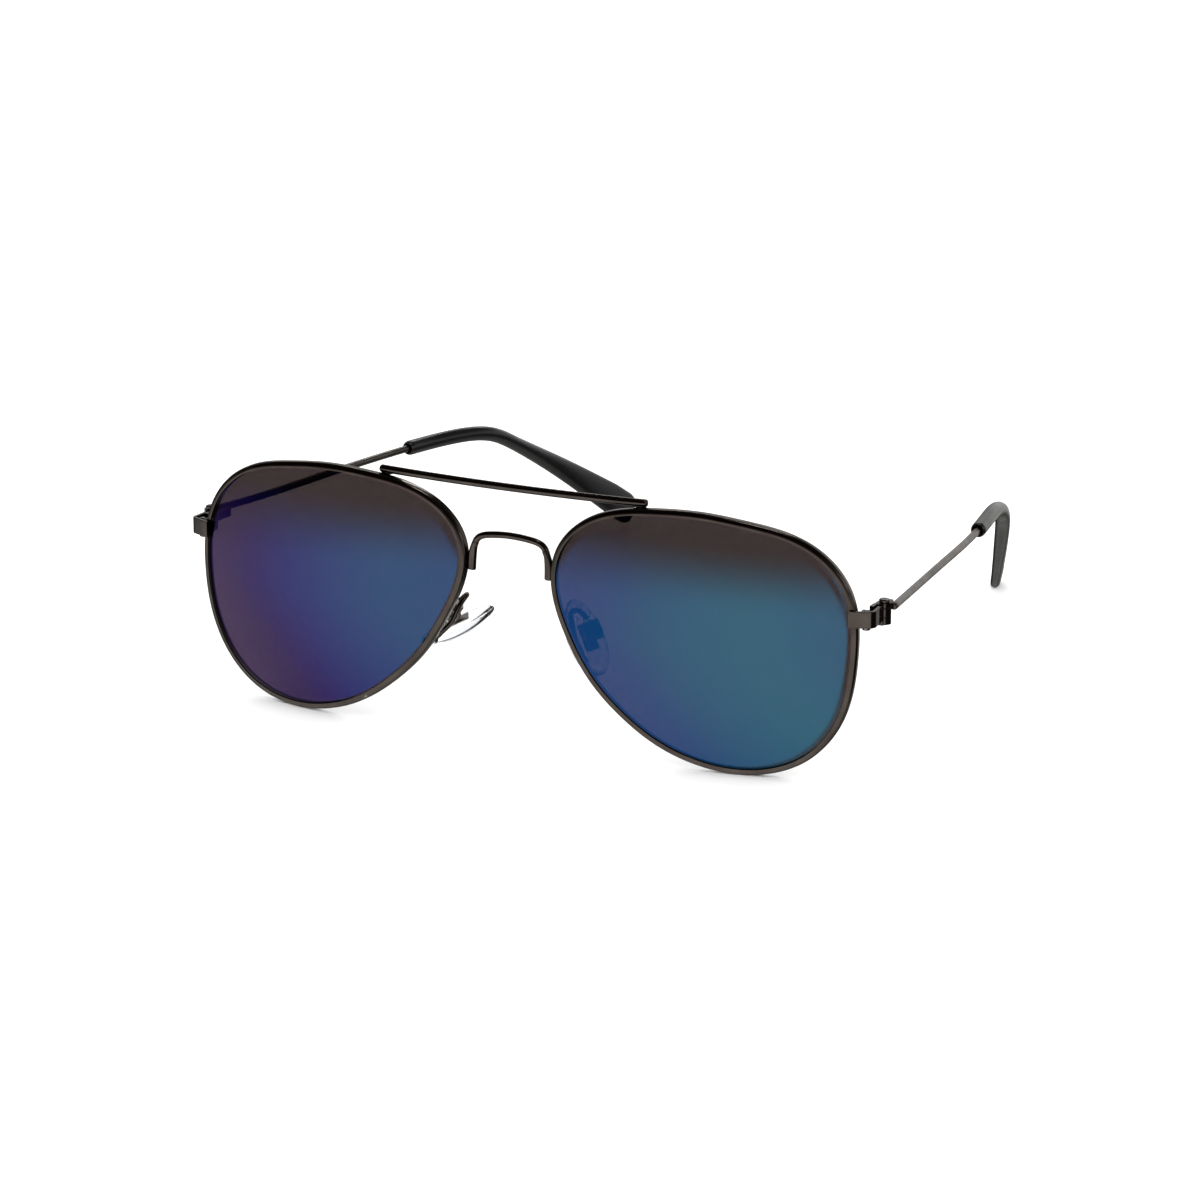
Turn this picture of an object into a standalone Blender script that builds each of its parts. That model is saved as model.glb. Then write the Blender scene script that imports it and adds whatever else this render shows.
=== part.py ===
"""Double-bridge aviator sunglasses with thin metal rims, mirrored lenses, screw-on nose pads
and wire temples that end in moulded tips.

Frame: millimetres inside the helpers, metres in the scene. X runs from the wearer's right (-X)
to the wearer's left (+X), the lenses face -Y, the temples run back towards +Y and +Z is up.
The object stands open on its rims and temple tips, with z = 0 on the table.
"""

import math

import bmesh
import bpy
import numpy as np

MM = 0.001

# ---- driving dimensions, in millimetres -------------------------------------------------
Y_SHIFT = 70.28          # puts the middle of the bounding box at y = 0
BASE_RADIUS = 88.8      # radius of the lens surface, a six-base curve
WRAP = math.radians(6)  # each lens turns back by this much at the temples
LENS_X = 39.23          # centre of each lens from the middle
LENS_Z = 24.74         # height of the lens centres above the table
# outer outline of a rim: radius from the lens centre every 22.5 degrees, from the temple side
RIM_KNOTS = (29.9, 30.85, 28.95, 25.6, 24.75, 26.4, 30.55, 32.15,
             27.35, 23.7, 21.9, 22.1, 23.75, 26.7, 29.5, 30.05)
RIM_WIDTH = 1.15        # across the face of the wire
RIM_DEPTH = 1.75        # front to back
GROOVE_FLOOR = 0.5      # wall left outside the lens groove
GROOVE_HALF = 0.55
RIM_STATIONS = 48
SPLIT_Z = 7.1           # the rim is cut here, on the temple side, above the lens centre
SPLIT_GAP = 0.3
LENS_THICK = 1.6
BAR_RADIUS = 0.75       # brow bar
BRIDGE_RADIUS = 0.65
WIRE_RADIUS = 0.72      # temple wire
TIP_RADIUS = 1.5        # round front of the temple tip
BORE_RADIUS = 0.95      # blind bore of the tip, over the wire
HINGE = (70.9, 14.2)    # hinge axis, x and y
HINGE_Z = 31.95
KNUCKLE_RADIUS = 1.3
PIN_HOLE = 0.68
PIN_RADIUS = 0.5
PAD_PIVOT = (14.7, 7.6, 22.1)
PAD_YAW = math.radians(28.2)
PAD_PITCH = math.radians(-4.0)
PAD_TILT = math.radians(-31.0)   # how far the wearer's left pad has rocked
PAD_ROCK = math.radians(-33.2)   # how much further the wearer's right pad has rocked
PAD_LENGTH, PAD_WIDTH = 15.6, 8.0

SIDES = (("left", 1.0), ("right", -1.0))


# ---- curves ------------------------------------------------------------------------------
def periodic_spline(values):
    """A smooth closed curve r(angle) through evenly spaced values."""
    y = np.array(values, float)
    n = len(y)
    h = 2 * math.pi / n
    a = 4 * np.eye(n) + np.roll(np.eye(n), 1, 1) + np.roll(np.eye(n), -1, 1)
    m = np.linalg.solve(a, 6 / h**2 * (np.roll(y, 1) - 2 * y + np.roll(y, -1)))

    def at(angle):
        t = (np.asarray(angle, float) % (2 * math.pi)) / h
        i = np.floor(t).astype(int) % n
        j = (i + 1) % n
        b = t - np.floor(t)
        a_ = 1 - b
        return a_ * y[i] + b * y[j] + ((a_**3 - a_) * m[i] + (b**3 - b) * m[j]) * h**2 / 6

    return at


def spline(points, count, start=0.0, end=1.0):
    """Evenly spaced points on a natural cubic through the given ones, by chord length."""
    p = np.array(points, float)
    s = np.concatenate([[0], np.cumsum(np.linalg.norm(np.diff(p, axis=0), axis=1))])
    n = len(p)
    h = np.diff(s)
    a = np.eye(n)
    rhs = np.zeros_like(p)
    for i in range(1, n - 1):
        a[i, i - 1], a[i, i], a[i, i + 1] = h[i - 1], 2 * (h[i - 1] + h[i]), h[i]
        rhs[i] = 6 * ((p[i + 1] - p[i]) / h[i] - (p[i] - p[i - 1]) / h[i - 1])
    m = np.linalg.solve(a, rhs)
    t = s[-1] * (start + (end - start) * np.linspace(0, 1, count))
    i = np.clip(np.searchsorted(s, t, side="right") - 1, 0, n - 2)
    hh = h[i][:, None]
    b = (t - s[i])[:, None] / hh
    c = 1 - b
    return c * p[i] + b * p[i + 1] + ((c**3 - c) * m[i] + (b**3 - b) * m[i + 1]) * hh**2 / 6


outline = periodic_spline(RIM_KNOTS)


def outline_uv(angle, inset=0.0):
    """A point of the rim's outer outline moved inwards, in the plane of the lens."""
    step = 1e-3
    pts = [np.array([outline(t) * np.cos(t), outline(t) * np.sin(t)])
           for t in (angle - step, angle, angle + step)]
    tangent = pts[2] - pts[0]
    tangent = tangent / np.linalg.norm(tangent, axis=0)
    inward = np.array([-tangent[1], tangent[0]])
    return (pts[1] + inward * inset).T


def lens_point(side, u, v, n):
    """u runs to the temple, v up, n out of the front of the curved lens surface."""
    u, v, n = np.broadcast_arrays(*(np.asarray(k, float) for k in (u, v, n)))
    raw = n - (u * u + v * v) / (2 * BASE_RADIUS)
    x = side * (LENS_X + u * math.cos(WRAP) + raw * math.sin(WRAP))
    y = u * math.sin(WRAP) - raw * math.cos(WRAP)
    return np.stack([x, y, LENS_Z + v], -1)


# ---- meshes ------------------------------------------------------------------------------
def material(name, color, rough, metallic, alpha=1.0, coat=0.0):
    mat = bpy.data.materials.get(name)
    if mat:
        return mat
    mat = bpy.data.materials.new(name)
    mat.use_nodes = True
    shader = mat.node_tree.nodes["Principled BSDF"]
    shader.inputs["Base Color"].default_value = (*color, 1)
    shader.inputs["Roughness"].default_value = rough
    shader.inputs["Metallic"].default_value = metallic
    shader.inputs["Alpha"].default_value = alpha
    shader.inputs["Coat Weight"].default_value = coat
    mat.diffuse_color = (*color, alpha)
    return mat


GUNMETAL = ("gunmetal", (0.075, 0.068, 0.062), 0.22, 1.0)
STEEL = ("screw_steel", (0.16, 0.155, 0.15), 0.3, 1.0)
MIRROR = ("lens_mirror", (0.03, 0.055, 0.085), 0.06, 0.65)
TIP = ("tip_plastic", (0.008, 0.008, 0.009), 0.22, 0.0)
CLEAR = ("pad_clear", (0.82, 0.84, 0.86), 0.12, 0.0)


def make(name, verts, faces, mat, origin=(0.0, 0.0, 0.0), smooth=True, floor=False):
    """A closed mesh object; verts are world millimetres, origin is where its joint axis runs.
    With floor, what would reach below z = 0 is cut off flat."""
    shift = np.array([0.0, Y_SHIFT, 0.0])
    origin = np.array(origin, float)
    data = bpy.data.meshes.new(name)
    data.from_pydata([tuple(p) for p in (np.asarray(verts, float) - origin) * MM], [],
                     [tuple(int(i) for i in f) for f in faces])
    bm = bmesh.new()
    bm.from_mesh(data)
    bmesh.ops.remove_doubles(bm, verts=bm.verts, dist=1e-7)
    if floor:
        geom = list(bm.verts) + list(bm.edges) + list(bm.faces)
        cut = bmesh.ops.bisect_plane(bm, geom=geom, plane_co=(0, 0, -origin[2] * MM),
                                     plane_no=(0, 0, -1), clear_outer=True, dist=1e-8)
        rim_edges = [e for e in cut["geom_cut"] if isinstance(e, bmesh.types.BMEdge)]
        bmesh.ops.contextual_create(bm, geom=rim_edges)
    bmesh.ops.recalc_face_normals(bm, faces=bm.faces)
    bm.to_mesh(data)
    bm.free()
    data.materials.append(material(*mat))
    for polygon in data.polygons:
        polygon.use_smooth = smooth and len(polygon.vertices) <= 4
    obj = bpy.data.objects.new(name, data)
    obj.location = (origin - shift) * MM
    bpy.context.scene.collection.objects.link(obj)
    return obj


def rings(stations, closed=False, cap_start=True, cap_end=True):
    """Faces that join rows of equal length into a tube."""
    stations = [np.asarray(s, float) for s in stations]
    m = len(stations[0])
    verts = np.concatenate(stations)
    faces = []
    n = len(stations)
    for i in range(n if closed else n - 1):
        a, b = i * m, ((i + 1) % n) * m
        for j in range(m):
            k = (j + 1) % m
            faces.append((a + j, a + k, b + k, b + j))
    if not closed:
        if cap_start:
            faces.append(tuple(range(m))[::-1])
        if cap_end:
            faces.append(tuple(range((n - 1) * m, n * m)))
    return verts, faces


def frames(path, reference):
    """Unit tangent, first and second cross axes at each point; the first follows reference."""
    path = np.asarray(path, float)
    t = np.gradient(path, axis=0)
    t /= np.linalg.norm(t, axis=1)[:, None]
    ref = np.array(reference, float)
    e1 = ref - (t @ ref)[:, None] * t
    e1 /= np.linalg.norm(e1, axis=1)[:, None]
    return t, e1, np.cross(t, e1)


def circle(radius, count, phase=0.0):
    a = phase + 2 * math.pi * np.arange(count) / count
    return np.stack([radius * np.cos(a), radius * np.sin(a)], -1)


def tube(path, radius, count, reference, round_ends=0):
    """A round wire along a path, with ends rounded over when round_ends > 0."""
    path = np.asarray(path, float)
    t, e1, e2 = frames(path, reference)
    loop = circle(1.0, count)
    rows = []

    def ring(i, r, shift=0.0):
        c = path[i] + t[i] * shift
        return c + r * (loop[:, :1] * e1[i] + loop[:, 1:] * e2[i])

    for k in range(round_ends):
        a = math.pi / 2 * (k + 0.4) / (round_ends + 0.4)
        rows.append(ring(0, radius * math.sin(a), -radius * math.cos(a) * 0.6))
    rows += [ring(i, radius) for i in range(len(path))]
    for k in reversed(range(round_ends)):
        a = math.pi / 2 * (k + 0.4) / (round_ends + 0.4)
        rows.append(ring(-1, radius * math.sin(a), radius * math.cos(a) * 0.6))
    return rings(rows)


def lathe(axis_point, axis, profile, count=16):
    """A turned solid: profile is (radius, height) along the axis from end to end."""
    axis = np.array(axis, float) / np.linalg.norm(axis)
    ref = np.array([1.0, 0, 0]) if abs(axis[0]) < 0.8 else np.array([0, 1.0, 0])
    e1 = ref - (ref @ axis) * axis
    e1 /= np.linalg.norm(e1)
    e2 = np.cross(axis, e1)
    loop = circle(1.0, count)
    rows = [np.array(axis_point) + axis * h + r * (loop[:, :1] * e1 + loop[:, 1:] * e2)
            for r, h in profile]
    return rings(rows)


def ray_radius(poly, angle):
    """How far a ray from the middle reaches in a convex polygon that holds the middle."""
    d = np.array([math.cos(angle), math.sin(angle)])
    best = 0.0
    for a, b in zip(poly, poly[1:] + poly[:1]):
        a, b = np.array(a, float), np.array(b, float)
        e = b - a
        det = d[0] * -e[1] + d[1] * e[0]
        if abs(det) < 1e-12:
            continue
        r = (a[0] * -e[1] + a[1] * e[0]) / det
        s = (d[0] * a[1] - d[1] * a[0]) / det
        if r > 0 and -1e-9 <= s <= 1 + 1e-9:
            best = max(best, r)
    return best


def eye_plate(centre, ex, ey, ez, poly, radius, hole, z0, z1, count=20):
    """A plate of polygon poly joined to a round boss, with a round hole through the middle."""
    angles = set(round(2 * math.pi * i / count, 9) for i in range(count))
    for x, y in poly or ():
        if math.hypot(x, y) > radius * 1.0001:
            angles.add(round(math.atan2(y, x) % (2 * math.pi), 9))
    if poly and radius > 0:
        # the corners where the plate leaves the boss
        fine = [ray_radius(poly, 2 * math.pi * i / 720) > radius for i in range(720)]
        for i in range(720):
            if fine[i] != fine[i - 1]:
                angles.add(round(2 * math.pi * (i - 0.5) / 720 % (2 * math.pi), 9))
    angles = sorted(angles)
    keep = [angles[0]]
    for a in angles[1:]:
        if a - keep[-1] > 0.03:
            keep.append(a)
    centre, ex, ey, ez = (np.array(k, float) for k in (centre, ex, ey, ez))
    outer, inner = [], []
    for a in keep:
        r = max(radius, ray_radius(poly, a) if poly else 0.0)
        d = ex * math.cos(a) + ey * math.sin(a)
        outer.append(centre + d * r)
        inner.append(centre + d * hole)
    outer, inner = np.array(outer), np.array(inner)
    rows = [outer + ez * z0, outer + ez * z1, inner + ez * z1, inner + ez * z0]
    return rings(rows, closed=True)


def prism(poly, z0, z1, place):
    """A straight extrusion; place turns plan points and a height into world points."""
    low = np.array([place(x, y, z0) for x, y in poly])
    high = np.array([place(x, y, z1) for x, y in poly])
    return rings([low, high])


def joined(name, parts, mat, origin=(0, 0, 0)):
    """Overlapping closed pieces fused into one solid."""
    base = make(name, *parts[0], mat, origin=origin, smooth=False)
    for i, part in enumerate(parts[1:]):
        other = make(f"{name}_join_{i}", *part, mat, smooth=False)
        other.hide_render = True
        other.display_type = "WIRE"
        mod = base.modifiers.new(f"join_{i}", "BOOLEAN")
        mod.operation = "UNION"
        mod.solver = "EXACT"
        mod.object = other
    return base


def turn(axis, angle):
    x, y, z = np.array(axis, float) / np.linalg.norm(axis)
    k = np.array([[0, -z, y], [z, 0, -x], [-y, x, 0]])
    return np.eye(3) + math.sin(angle) * k + (1 - math.cos(angle)) * k @ k


def flip(side, vec):
    return np.array(vec, float) * np.array([side, 1, 1])


# ---- the fixed front ---------------------------------------------------------------------
def rim(name, side):
    """A split ring of grooved wire; the cut on the temple side lets the lens in."""
    cut = math.atan2(SPLIT_Z, math.sqrt(float(outline(0.235)) ** 2 - SPLIT_Z**2))
    half = 0.5 * SPLIT_GAP / float(outline(cut))
    d = RIM_DEPTH / 2
    section = [(0.0, -0.55), (0.25, -d), (RIM_WIDTH, -d), (RIM_WIDTH, -GROOVE_HALF),
               (GROOVE_FLOOR, -GROOVE_HALF), (GROOVE_FLOOR, GROOVE_HALF),
               (RIM_WIDTH, GROOVE_HALF), (RIM_WIDTH, d), (0.25, d), (0.0, 0.55)]
    rows = []
    for a in np.linspace(cut + half, cut + 2 * math.pi - half, RIM_STATIONS + 1):
        row = []
        for inset, n in section:
            u, v = outline_uv(a, inset)
            row.append(lens_point(side, u, v, n))
        rows.append(np.array(row))
    return make(name, *rings(rows), GUNMETAL)


def lens(name, side):
    """A curved disc with a tongue round its edge that lies in the groove of the rim."""
    body = RIM_WIDTH + 0.2
    t = LENS_THICK / 2
    count = 40
    angles = 2 * math.pi * np.arange(count) / count
    edge = np.array([outline_uv(a, body) for a in angles])
    tongue = np.array([outline_uv(a, 0.8) for a in angles])
    rows = []
    for share in (0.3, 0.6, 0.85):
        rows.append(lens_point(side, edge[:, 0] * share, edge[:, 1] * share, t))
    rows.append(lens_point(side, edge[:, 0], edge[:, 1], t))
    rows.append(lens_point(side, edge[:, 0], edge[:, 1], 0.3))
    rows.append(lens_point(side, tongue[:, 0], tongue[:, 1], 0.25))
    rows.append(lens_point(side, tongue[:, 0], tongue[:, 1], -0.25))
    rows.append(lens_point(side, edge[:, 0], edge[:, 1], -0.3))
    rows.append(lens_point(side, edge[:, 0], edge[:, 1], -t))
    for share in (0.85, 0.6, 0.3):
        rows.append(lens_point(side, edge[:, 0] * share, edge[:, 1] * share, -t))
    verts, faces = rings(rows, cap_start=False, cap_end=False)
    front, back = len(verts), len(verts) + 1
    verts = np.concatenate([verts, [lens_point(side, 0, 0, t), lens_point(side, 0, 0, -t)]])
    last = (len(rows) - 1) * count
    for j in range(count):
        k = (j + 1) % count
        faces.append((front, k, j))
        faces.append((back, last + j, last + k))
    return make(name, verts, faces, MIRROR)


def plan_point(side, u, n, z):
    """A point of the end-piece plan, square to the lens at its temple edge."""
    raw = n - (u * u + 7.2**2) / (2 * BASE_RADIUS)
    return np.array([side * (LENS_X + u * math.cos(WRAP) + raw * math.sin(WRAP)),
                     u * math.sin(WRAP) - raw * math.cos(WRAP), z])


def end_piece(name, side):
    """A bent plate: its face lies over the rim and its side runs back to the hinge."""
    poly = [(28.4, 1.8), (32.5, 1.8), (32.9, 1.65), (33.1, 1.25), (33.1, -2.4), (32.4, -2.4),
            (32.4, 0.8), (32.15, 1.12), (28.4, 1.12)]
    return make(name, *prism(poly, 30.4, 33.6, lambda u, n, z: plan_point(side, u, n, z)),
                GUNMETAL, smooth=False)


def lock_block(name, side, z0, z1):
    """One of the two blocks that the closing screw draws together across the rim's cut."""
    centre = plan_point(side, 31.15, -0.05, 0.0)
    ex = np.array([side * math.cos(WRAP), math.sin(WRAP), 0])
    ey = np.array([side * math.sin(WRAP), -math.cos(WRAP), 0])
    poly = [(-0.95, -0.75), (0.9, -0.75), (0.9, 0.7), (-0.95, 0.7)]
    return make(name, *eye_plate(centre, ex, ey, (0, 0, 1), poly, 0.0, 0.5, z0, z1, 16),
                GUNMETAL, smooth=False)


def lock_screw(name, side):
    x, y, _ = plan_point(side, 31.15, -0.05, 0.0)
    profile = [(0.3, 29.6), (0.78, 29.75), (0.78, 30.2), (0.35, 30.25), (0.35, 33.3), (0.2, 33.45)]
    return make(name, *lathe((x, y, 0), (0, 0, 1), profile, 14), STEEL)


def hinge_front_leaf(name, side):
    """Two outer knuckles on a small plate fixed inside the end piece."""
    hx, hy = HINGE

    def place(x, y, z):
        return np.array([side * x, y, z])

    web = [(69.45, 10.7), (70.25, 10.7), (70.25, 12.42), (71.35, 12.42), (71.35, 12.7),
           (69.45, 12.7)]
    tongue = [(-1.3, 0.0), (-1.3, -1.65), (0.4, -1.65), (0.4, 0.0), (0.4, 0.3), (-1.3, 0.3)]
    parts = [prism(web, 29.72, 33.78, place)]
    for z0, z1 in ((29.7, 31.0), (32.9, 33.8)):
        parts.append(eye_plate((side * hx, hy, 0), (side, 0, 0), (0, 1, 0), (0, 0, 1), tongue,
                               KNUCKLE_RADIUS, PIN_HOLE, z0, z1))
    return joined(name, parts, GUNMETAL)


def hinge_temple_leaf(name, side):
    """The middle knuckle with a tongue that the temple wire is brazed to."""
    hx, hy = HINGE
    lean = math.radians(7) * side
    ex = np.array([math.cos(lean) * side, math.sin(lean) * side, 0])
    ey = np.array([-math.sin(lean), math.cos(lean), 0])
    tongue = [(-0.95, -0.2), (0.25, -0.2), (0.25, 5.2), (-0.05, 5.5), (-0.65, 5.5), (-0.95, 5.2)]
    centre = (side * hx, hy, 0)
    return make(name, *eye_plate(centre, ex, ey, (0, 0, 1), tongue, KNUCKLE_RADIUS, PIN_HOLE,
                                 31.15, 32.75), GUNMETAL,
                origin=(side * hx, hy, HINGE_Z), smooth=False)


def hinge_screw(name, side):
    hx, hy = HINGE
    profile = [(0.3, 29.35), (PIN_RADIUS, 29.5), (PIN_RADIUS, 33.85), (1.0, 33.9), (1.0, 34.25),
               (0.75, 34.45)]
    return make(name, *lathe((side * hx, hy, 0), (0, 0, 1), profile, 16), STEEL)


def brow_bar(name):
    """A straight bar over the bridge, bowed forward a little, brazed on top of both rims."""
    x = np.linspace(-27.4, 27.4, 9)
    path = np.stack([x, 3.9 - 1.45 * (1 - (x / 27.4) ** 2), np.full_like(x, 49.68)], -1)
    return make(name, *tube(path, BAR_RADIUS, 12, (0, 0, 1), round_ends=1), GUNMETAL)


def bridge(name):
    """An arch of wire whose feet stand against the nose side of each rim."""
    half = [(3.9, 2.9, 39.95), (6.9, 3.0, 38.85), (7.75, 2.95, 36.0), (7.85, 2.75, 33.0)]
    pts = [flip(-1, p) for p in half[::-1]] + [(0, 2.8, 40.25)] + half
    path = spline(pts, 27)
    return make(name, *tube(path, BRIDGE_RADIUS, 8, (0, 1, 0), round_ends=1), GUNMETAL)


# ---- nose pads ---------------------------------------------------------------------------
def pad_axes(side, rocked):
    """Screw axis, long axis and outward normal of a pad that faces the nose."""
    a = np.array([math.sin(PAD_YAW) * math.cos(PAD_PITCH),
                  math.cos(PAD_YAW) * math.cos(PAD_PITCH), -math.sin(PAD_PITCH)])
    up = np.array([0, 0, 1.0])
    long = up - (up @ a) * a
    long /= np.linalg.norm(long)
    normal = -np.cross(a, long)
    spin = turn(a, PAD_TILT + (PAD_ROCK if rocked else 0.0))
    return flip(side, a), flip(side, spin @ long), flip(side, spin @ normal)


def pad_arm(name, side):
    """A gooseneck of wire from the back of the rim to the top of the pad box."""
    a, long, normal = pad_axes(side, False)
    pivot = flip(side, PAD_PIVOT)
    foot = lens_point(side, *outline_uv(math.radians(197), 0.45), -1.5)
    low = lens_point(side, *outline_uv(math.radians(193), 0.35), -2.0)
    end = pivot + long * 2.8
    pts = [foot, low, flip(side, (12.9, 3.9, 21.6)), flip(side, (11.9, 4.6, 24.2)),
           flip(side, (11.2, 5.8, 25.9)), flip(side, (11.5, 7.3, 26.1)),
           flip(side, (12.55, 8.0, 25.3)), end]
    return make(name, *tube(spline(pts, 20), 0.5, 7, a, round_ends=0), GUNMETAL)


def pad_box(name, side):
    """Two round ears and the web between them, open towards the nose."""
    a, long, normal = pad_axes(side, False)
    pivot = flip(side, PAD_PIVOT)
    parts = []

    def place(x, y, z):
        return pivot + normal * x + long * y + a * z

    parts.append(prism([(-1.36, 1.62), (1.11, 1.62), (1.11, 2.14), (-1.36, 2.14)], -1.34, 1.34,
                       place))
    poly = [(-1.3, 0.0), (-1.3, 1.9), (1.05, 1.9), (1.05, 0.0), (0.9, -0.4), (-1.1, -0.4)]
    for z0, z1 in ((-1.4, -0.85), (0.85, 1.4)):
        parts.append(eye_plate(pivot, normal, long, a, poly, 1.55, 0.5, z0, z1, 18))
    return joined(name, parts, GUNMETAL)


def pad_screw(name, side):
    a, _, _ = pad_axes(side, False)
    pivot = flip(side, PAD_PIVOT)
    profile = [(0.55, -2.05), (0.85, -1.9), (0.85, -1.5), (0.36, -1.46), (0.36, 1.7),
               (0.25, 1.85)]
    return make(name, *lathe(pivot, a, profile, 12), STEEL)


def pad_core(name, side):
    """The metal insert of a pad: a lug on the screw and a plate behind the soft part."""
    a, long, normal = pad_axes(side, side < 0)
    pivot = flip(side, PAD_PIVOT)
    poly = [(0.0, -0.9), (1.85, -0.9), (1.85, 0.9), (0.0, 0.9), (-0.3, 0.5), (-0.3, -0.5)]

    def place(x, y, z):
        return pivot + normal * x + long * y + a * z

    plate = [(1.72, -3.0), (2.02, -3.0), (2.02, 2.4), (1.72, 2.4)]
    parts = [prism(plate, -1.5, 1.5, place),
             eye_plate(pivot, normal, long, a, poly, 1.1, 0.5, -0.6, 0.6, 18)]
    return joined(name, parts, STEEL, origin=pivot)


def nose_pad(name, side):
    """A soft clear pad, egg-shaped, flat at the back and domed where it meets the nose."""
    a, long, normal = pad_axes(side, side < 0)
    pivot = flip(side, PAD_PIVOT)
    count = 20
    angles = 2 * math.pi * np.arange(count) / count
    half_l, half_w = PAD_LENGTH / 2, PAD_WIDTH / 2
    rows = []
    for grow, n in ((0.55, 2.12), (0.88, 2.12), (0.98, 2.5), (1.0, 3.1), (0.93, 3.75),
                    (0.72, 4.15), (0.4, 4.35)):
        y = half_l * grow * np.sin(angles)
        w = half_w * grow * np.cos(angles) * (1 - 0.12 * np.sin(angles))
        bend = -0.016 * y**2 * (n - 2.12) / 2.2
        rows.append(pivot + (n + bend)[:, None] * normal + (y - 0.2)[:, None] * long
                    + w[:, None] * a)
    verts, faces = rings(rows, cap_start=True, cap_end=False)
    verts = np.concatenate([verts, [pivot + 4.4 * normal - 0.2 * long]])
    last, tip = (len(rows) - 1) * count, len(verts) - 1
    for j in range(count):
        faces.append((last + j, last + (j + 1) % count, tip))
    return make(name, verts, faces, CLEAR, origin=pivot)


# ---- temples -----------------------------------------------------------------------------
TEMPLE = [(72.15, 15.85, 32.7), (69.85, 32.0, 31.9), (67.4, 52.0, 31.3), (63.6, 78.6, 30.5)]
# the two ends differ a little: the wearer's right one turns in further and is bent down less
HOOK = {"left": [(62.1, 86.5, 30.4), (60.6, 93.5, 29.7), (59.2, 99.5, 28.0), (57.1, 106.0, 24.6),
                 (53.2, 115.5, 17.9), (48.0, 127.6, 9.7), (42.2, 141.0, 1.15)],
        "right": [(60.3, 90.0, 30.45), (56.5, 97.0, 30.4), (54.6, 102.0, 29.2),
                  (53.0, 108.0, 26.2), (49.5, 121.8, 18.1), (41.4, 140.6, 4.4)]}
# shares of the length of the temple's centre line
TIP_START = {"left": 0.439, "right": 0.478}
CORE_END = 0.80
BORE_END = 0.812


def temple_points(word, side):
    return [flip(side, p) for p in TEMPLE + HOOK[word]]


def temple_wire(word, side):
    path = spline(temple_points(word, side), 26, 0.0, CORE_END)
    hx, hy = HINGE
    verts, faces = tube(path, WIRE_RADIUS, 8, (1, 0, 0), round_ends=1)
    return make(f"temple_wire_{word}", verts, faces, GUNMETAL,
                origin=(side * hx, hy, HINGE_Z))


def tip_half_sizes(share):
    """Half thickness and half height of the tip: round in front, a flat paddle at its end."""
    t = min(max((share - 0.7) / 0.25, 0.0), 1.0) ** 1.4
    return TIP_RADIUS + t * (1.12 - TIP_RADIUS), TIP_RADIUS + t * (3.4 - TIP_RADIUS)


def temple_tip(word, side):
    """A moulded sleeve over the wire, with a blind bore, bent down and flattened."""
    pts = temple_points(word, side)
    start = TIP_START[word]
    count = 12
    loop = circle(1.0, count, math.pi / count)
    outer_share = np.concatenate([[start, start + 0.004],
                                  np.linspace(start + 0.02, 0.98, 18), [0.993, 1.0]])
    shrink = np.ones(len(outer_share))
    shrink[0], shrink[1] = 0.86, 0.97
    shrink[-2], shrink[-1] = 0.82, 0.45
    rows = []
    fine = spline(pts, 801)
    t_all, e1_all, e2_all = frames(fine, (1, 0, 0))

    def ring(share, a, b):
        i = int(round(share * 800))
        return fine[i] + a * loop[:, :1] * e1_all[i] + b * loop[:, 1:] * e2_all[i]

    for share, k in zip(outer_share, shrink):
        a, b = tip_half_sizes(share)
        rows.append(ring(share, a * k, b * k))
    bore = [ring(s, BORE_RADIUS, BORE_RADIUS)
            for s in np.linspace(start, BORE_END, 13)]
    verts, faces = rings(bore[::-1] + rows, cap_start=True, cap_end=True)
    hx, hy = HINGE
    # the lower hook rests on the table with a small flat
    return make(f"temple_tip_{word}", verts, faces, TIP, origin=(side * hx, hy, HINGE_Z),
                floor=word == "left")


# ---- build -------------------------------------------------------------------------------
for old in list(bpy.data.objects):
    bpy.data.objects.remove(old)

brow_bar("brow_bar")
bridge("bridge")
for word, side in SIDES:
    rim(f"rim_{word}", side)
    lens(f"lens_{word}", side)
    end_piece(f"end_piece_{word}", side)
    lock_block(f"rim_lock_upper_{word}", side, 32.1, 33.3)
    lock_block(f"rim_lock_lower_{word}", side, 30.55, 31.75)
    lock_screw(f"rim_lock_screw_{word}", side)
    hinge_front_leaf(f"hinge_front_leaf_{word}", side)
    hinge_screw(f"hinge_screw_{word}", side)
    hinge_temple_leaf(f"hinge_temple_leaf_{word}", side)
    temple_wire(word, side)
    temple_tip(word, side)
    pad_arm(f"pad_arm_{word}", side)
    pad_box(f"pad_box_{word}", side)
    pad_screw(f"pad_screw_{word}", side)
    pad_core(f"pad_core_{word}", side)
    nose_pad(f"nose_pad_{word}", side)
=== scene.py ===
"""Looks for the double-bridge aviator sunglasses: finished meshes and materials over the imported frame.

Lengths inside the helpers are millimetres in the same layout as the solids: X from the wearer's
right to the wearer's left, lenses facing -Y, temples back towards +Y, +Z up.
"""

import math

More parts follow.
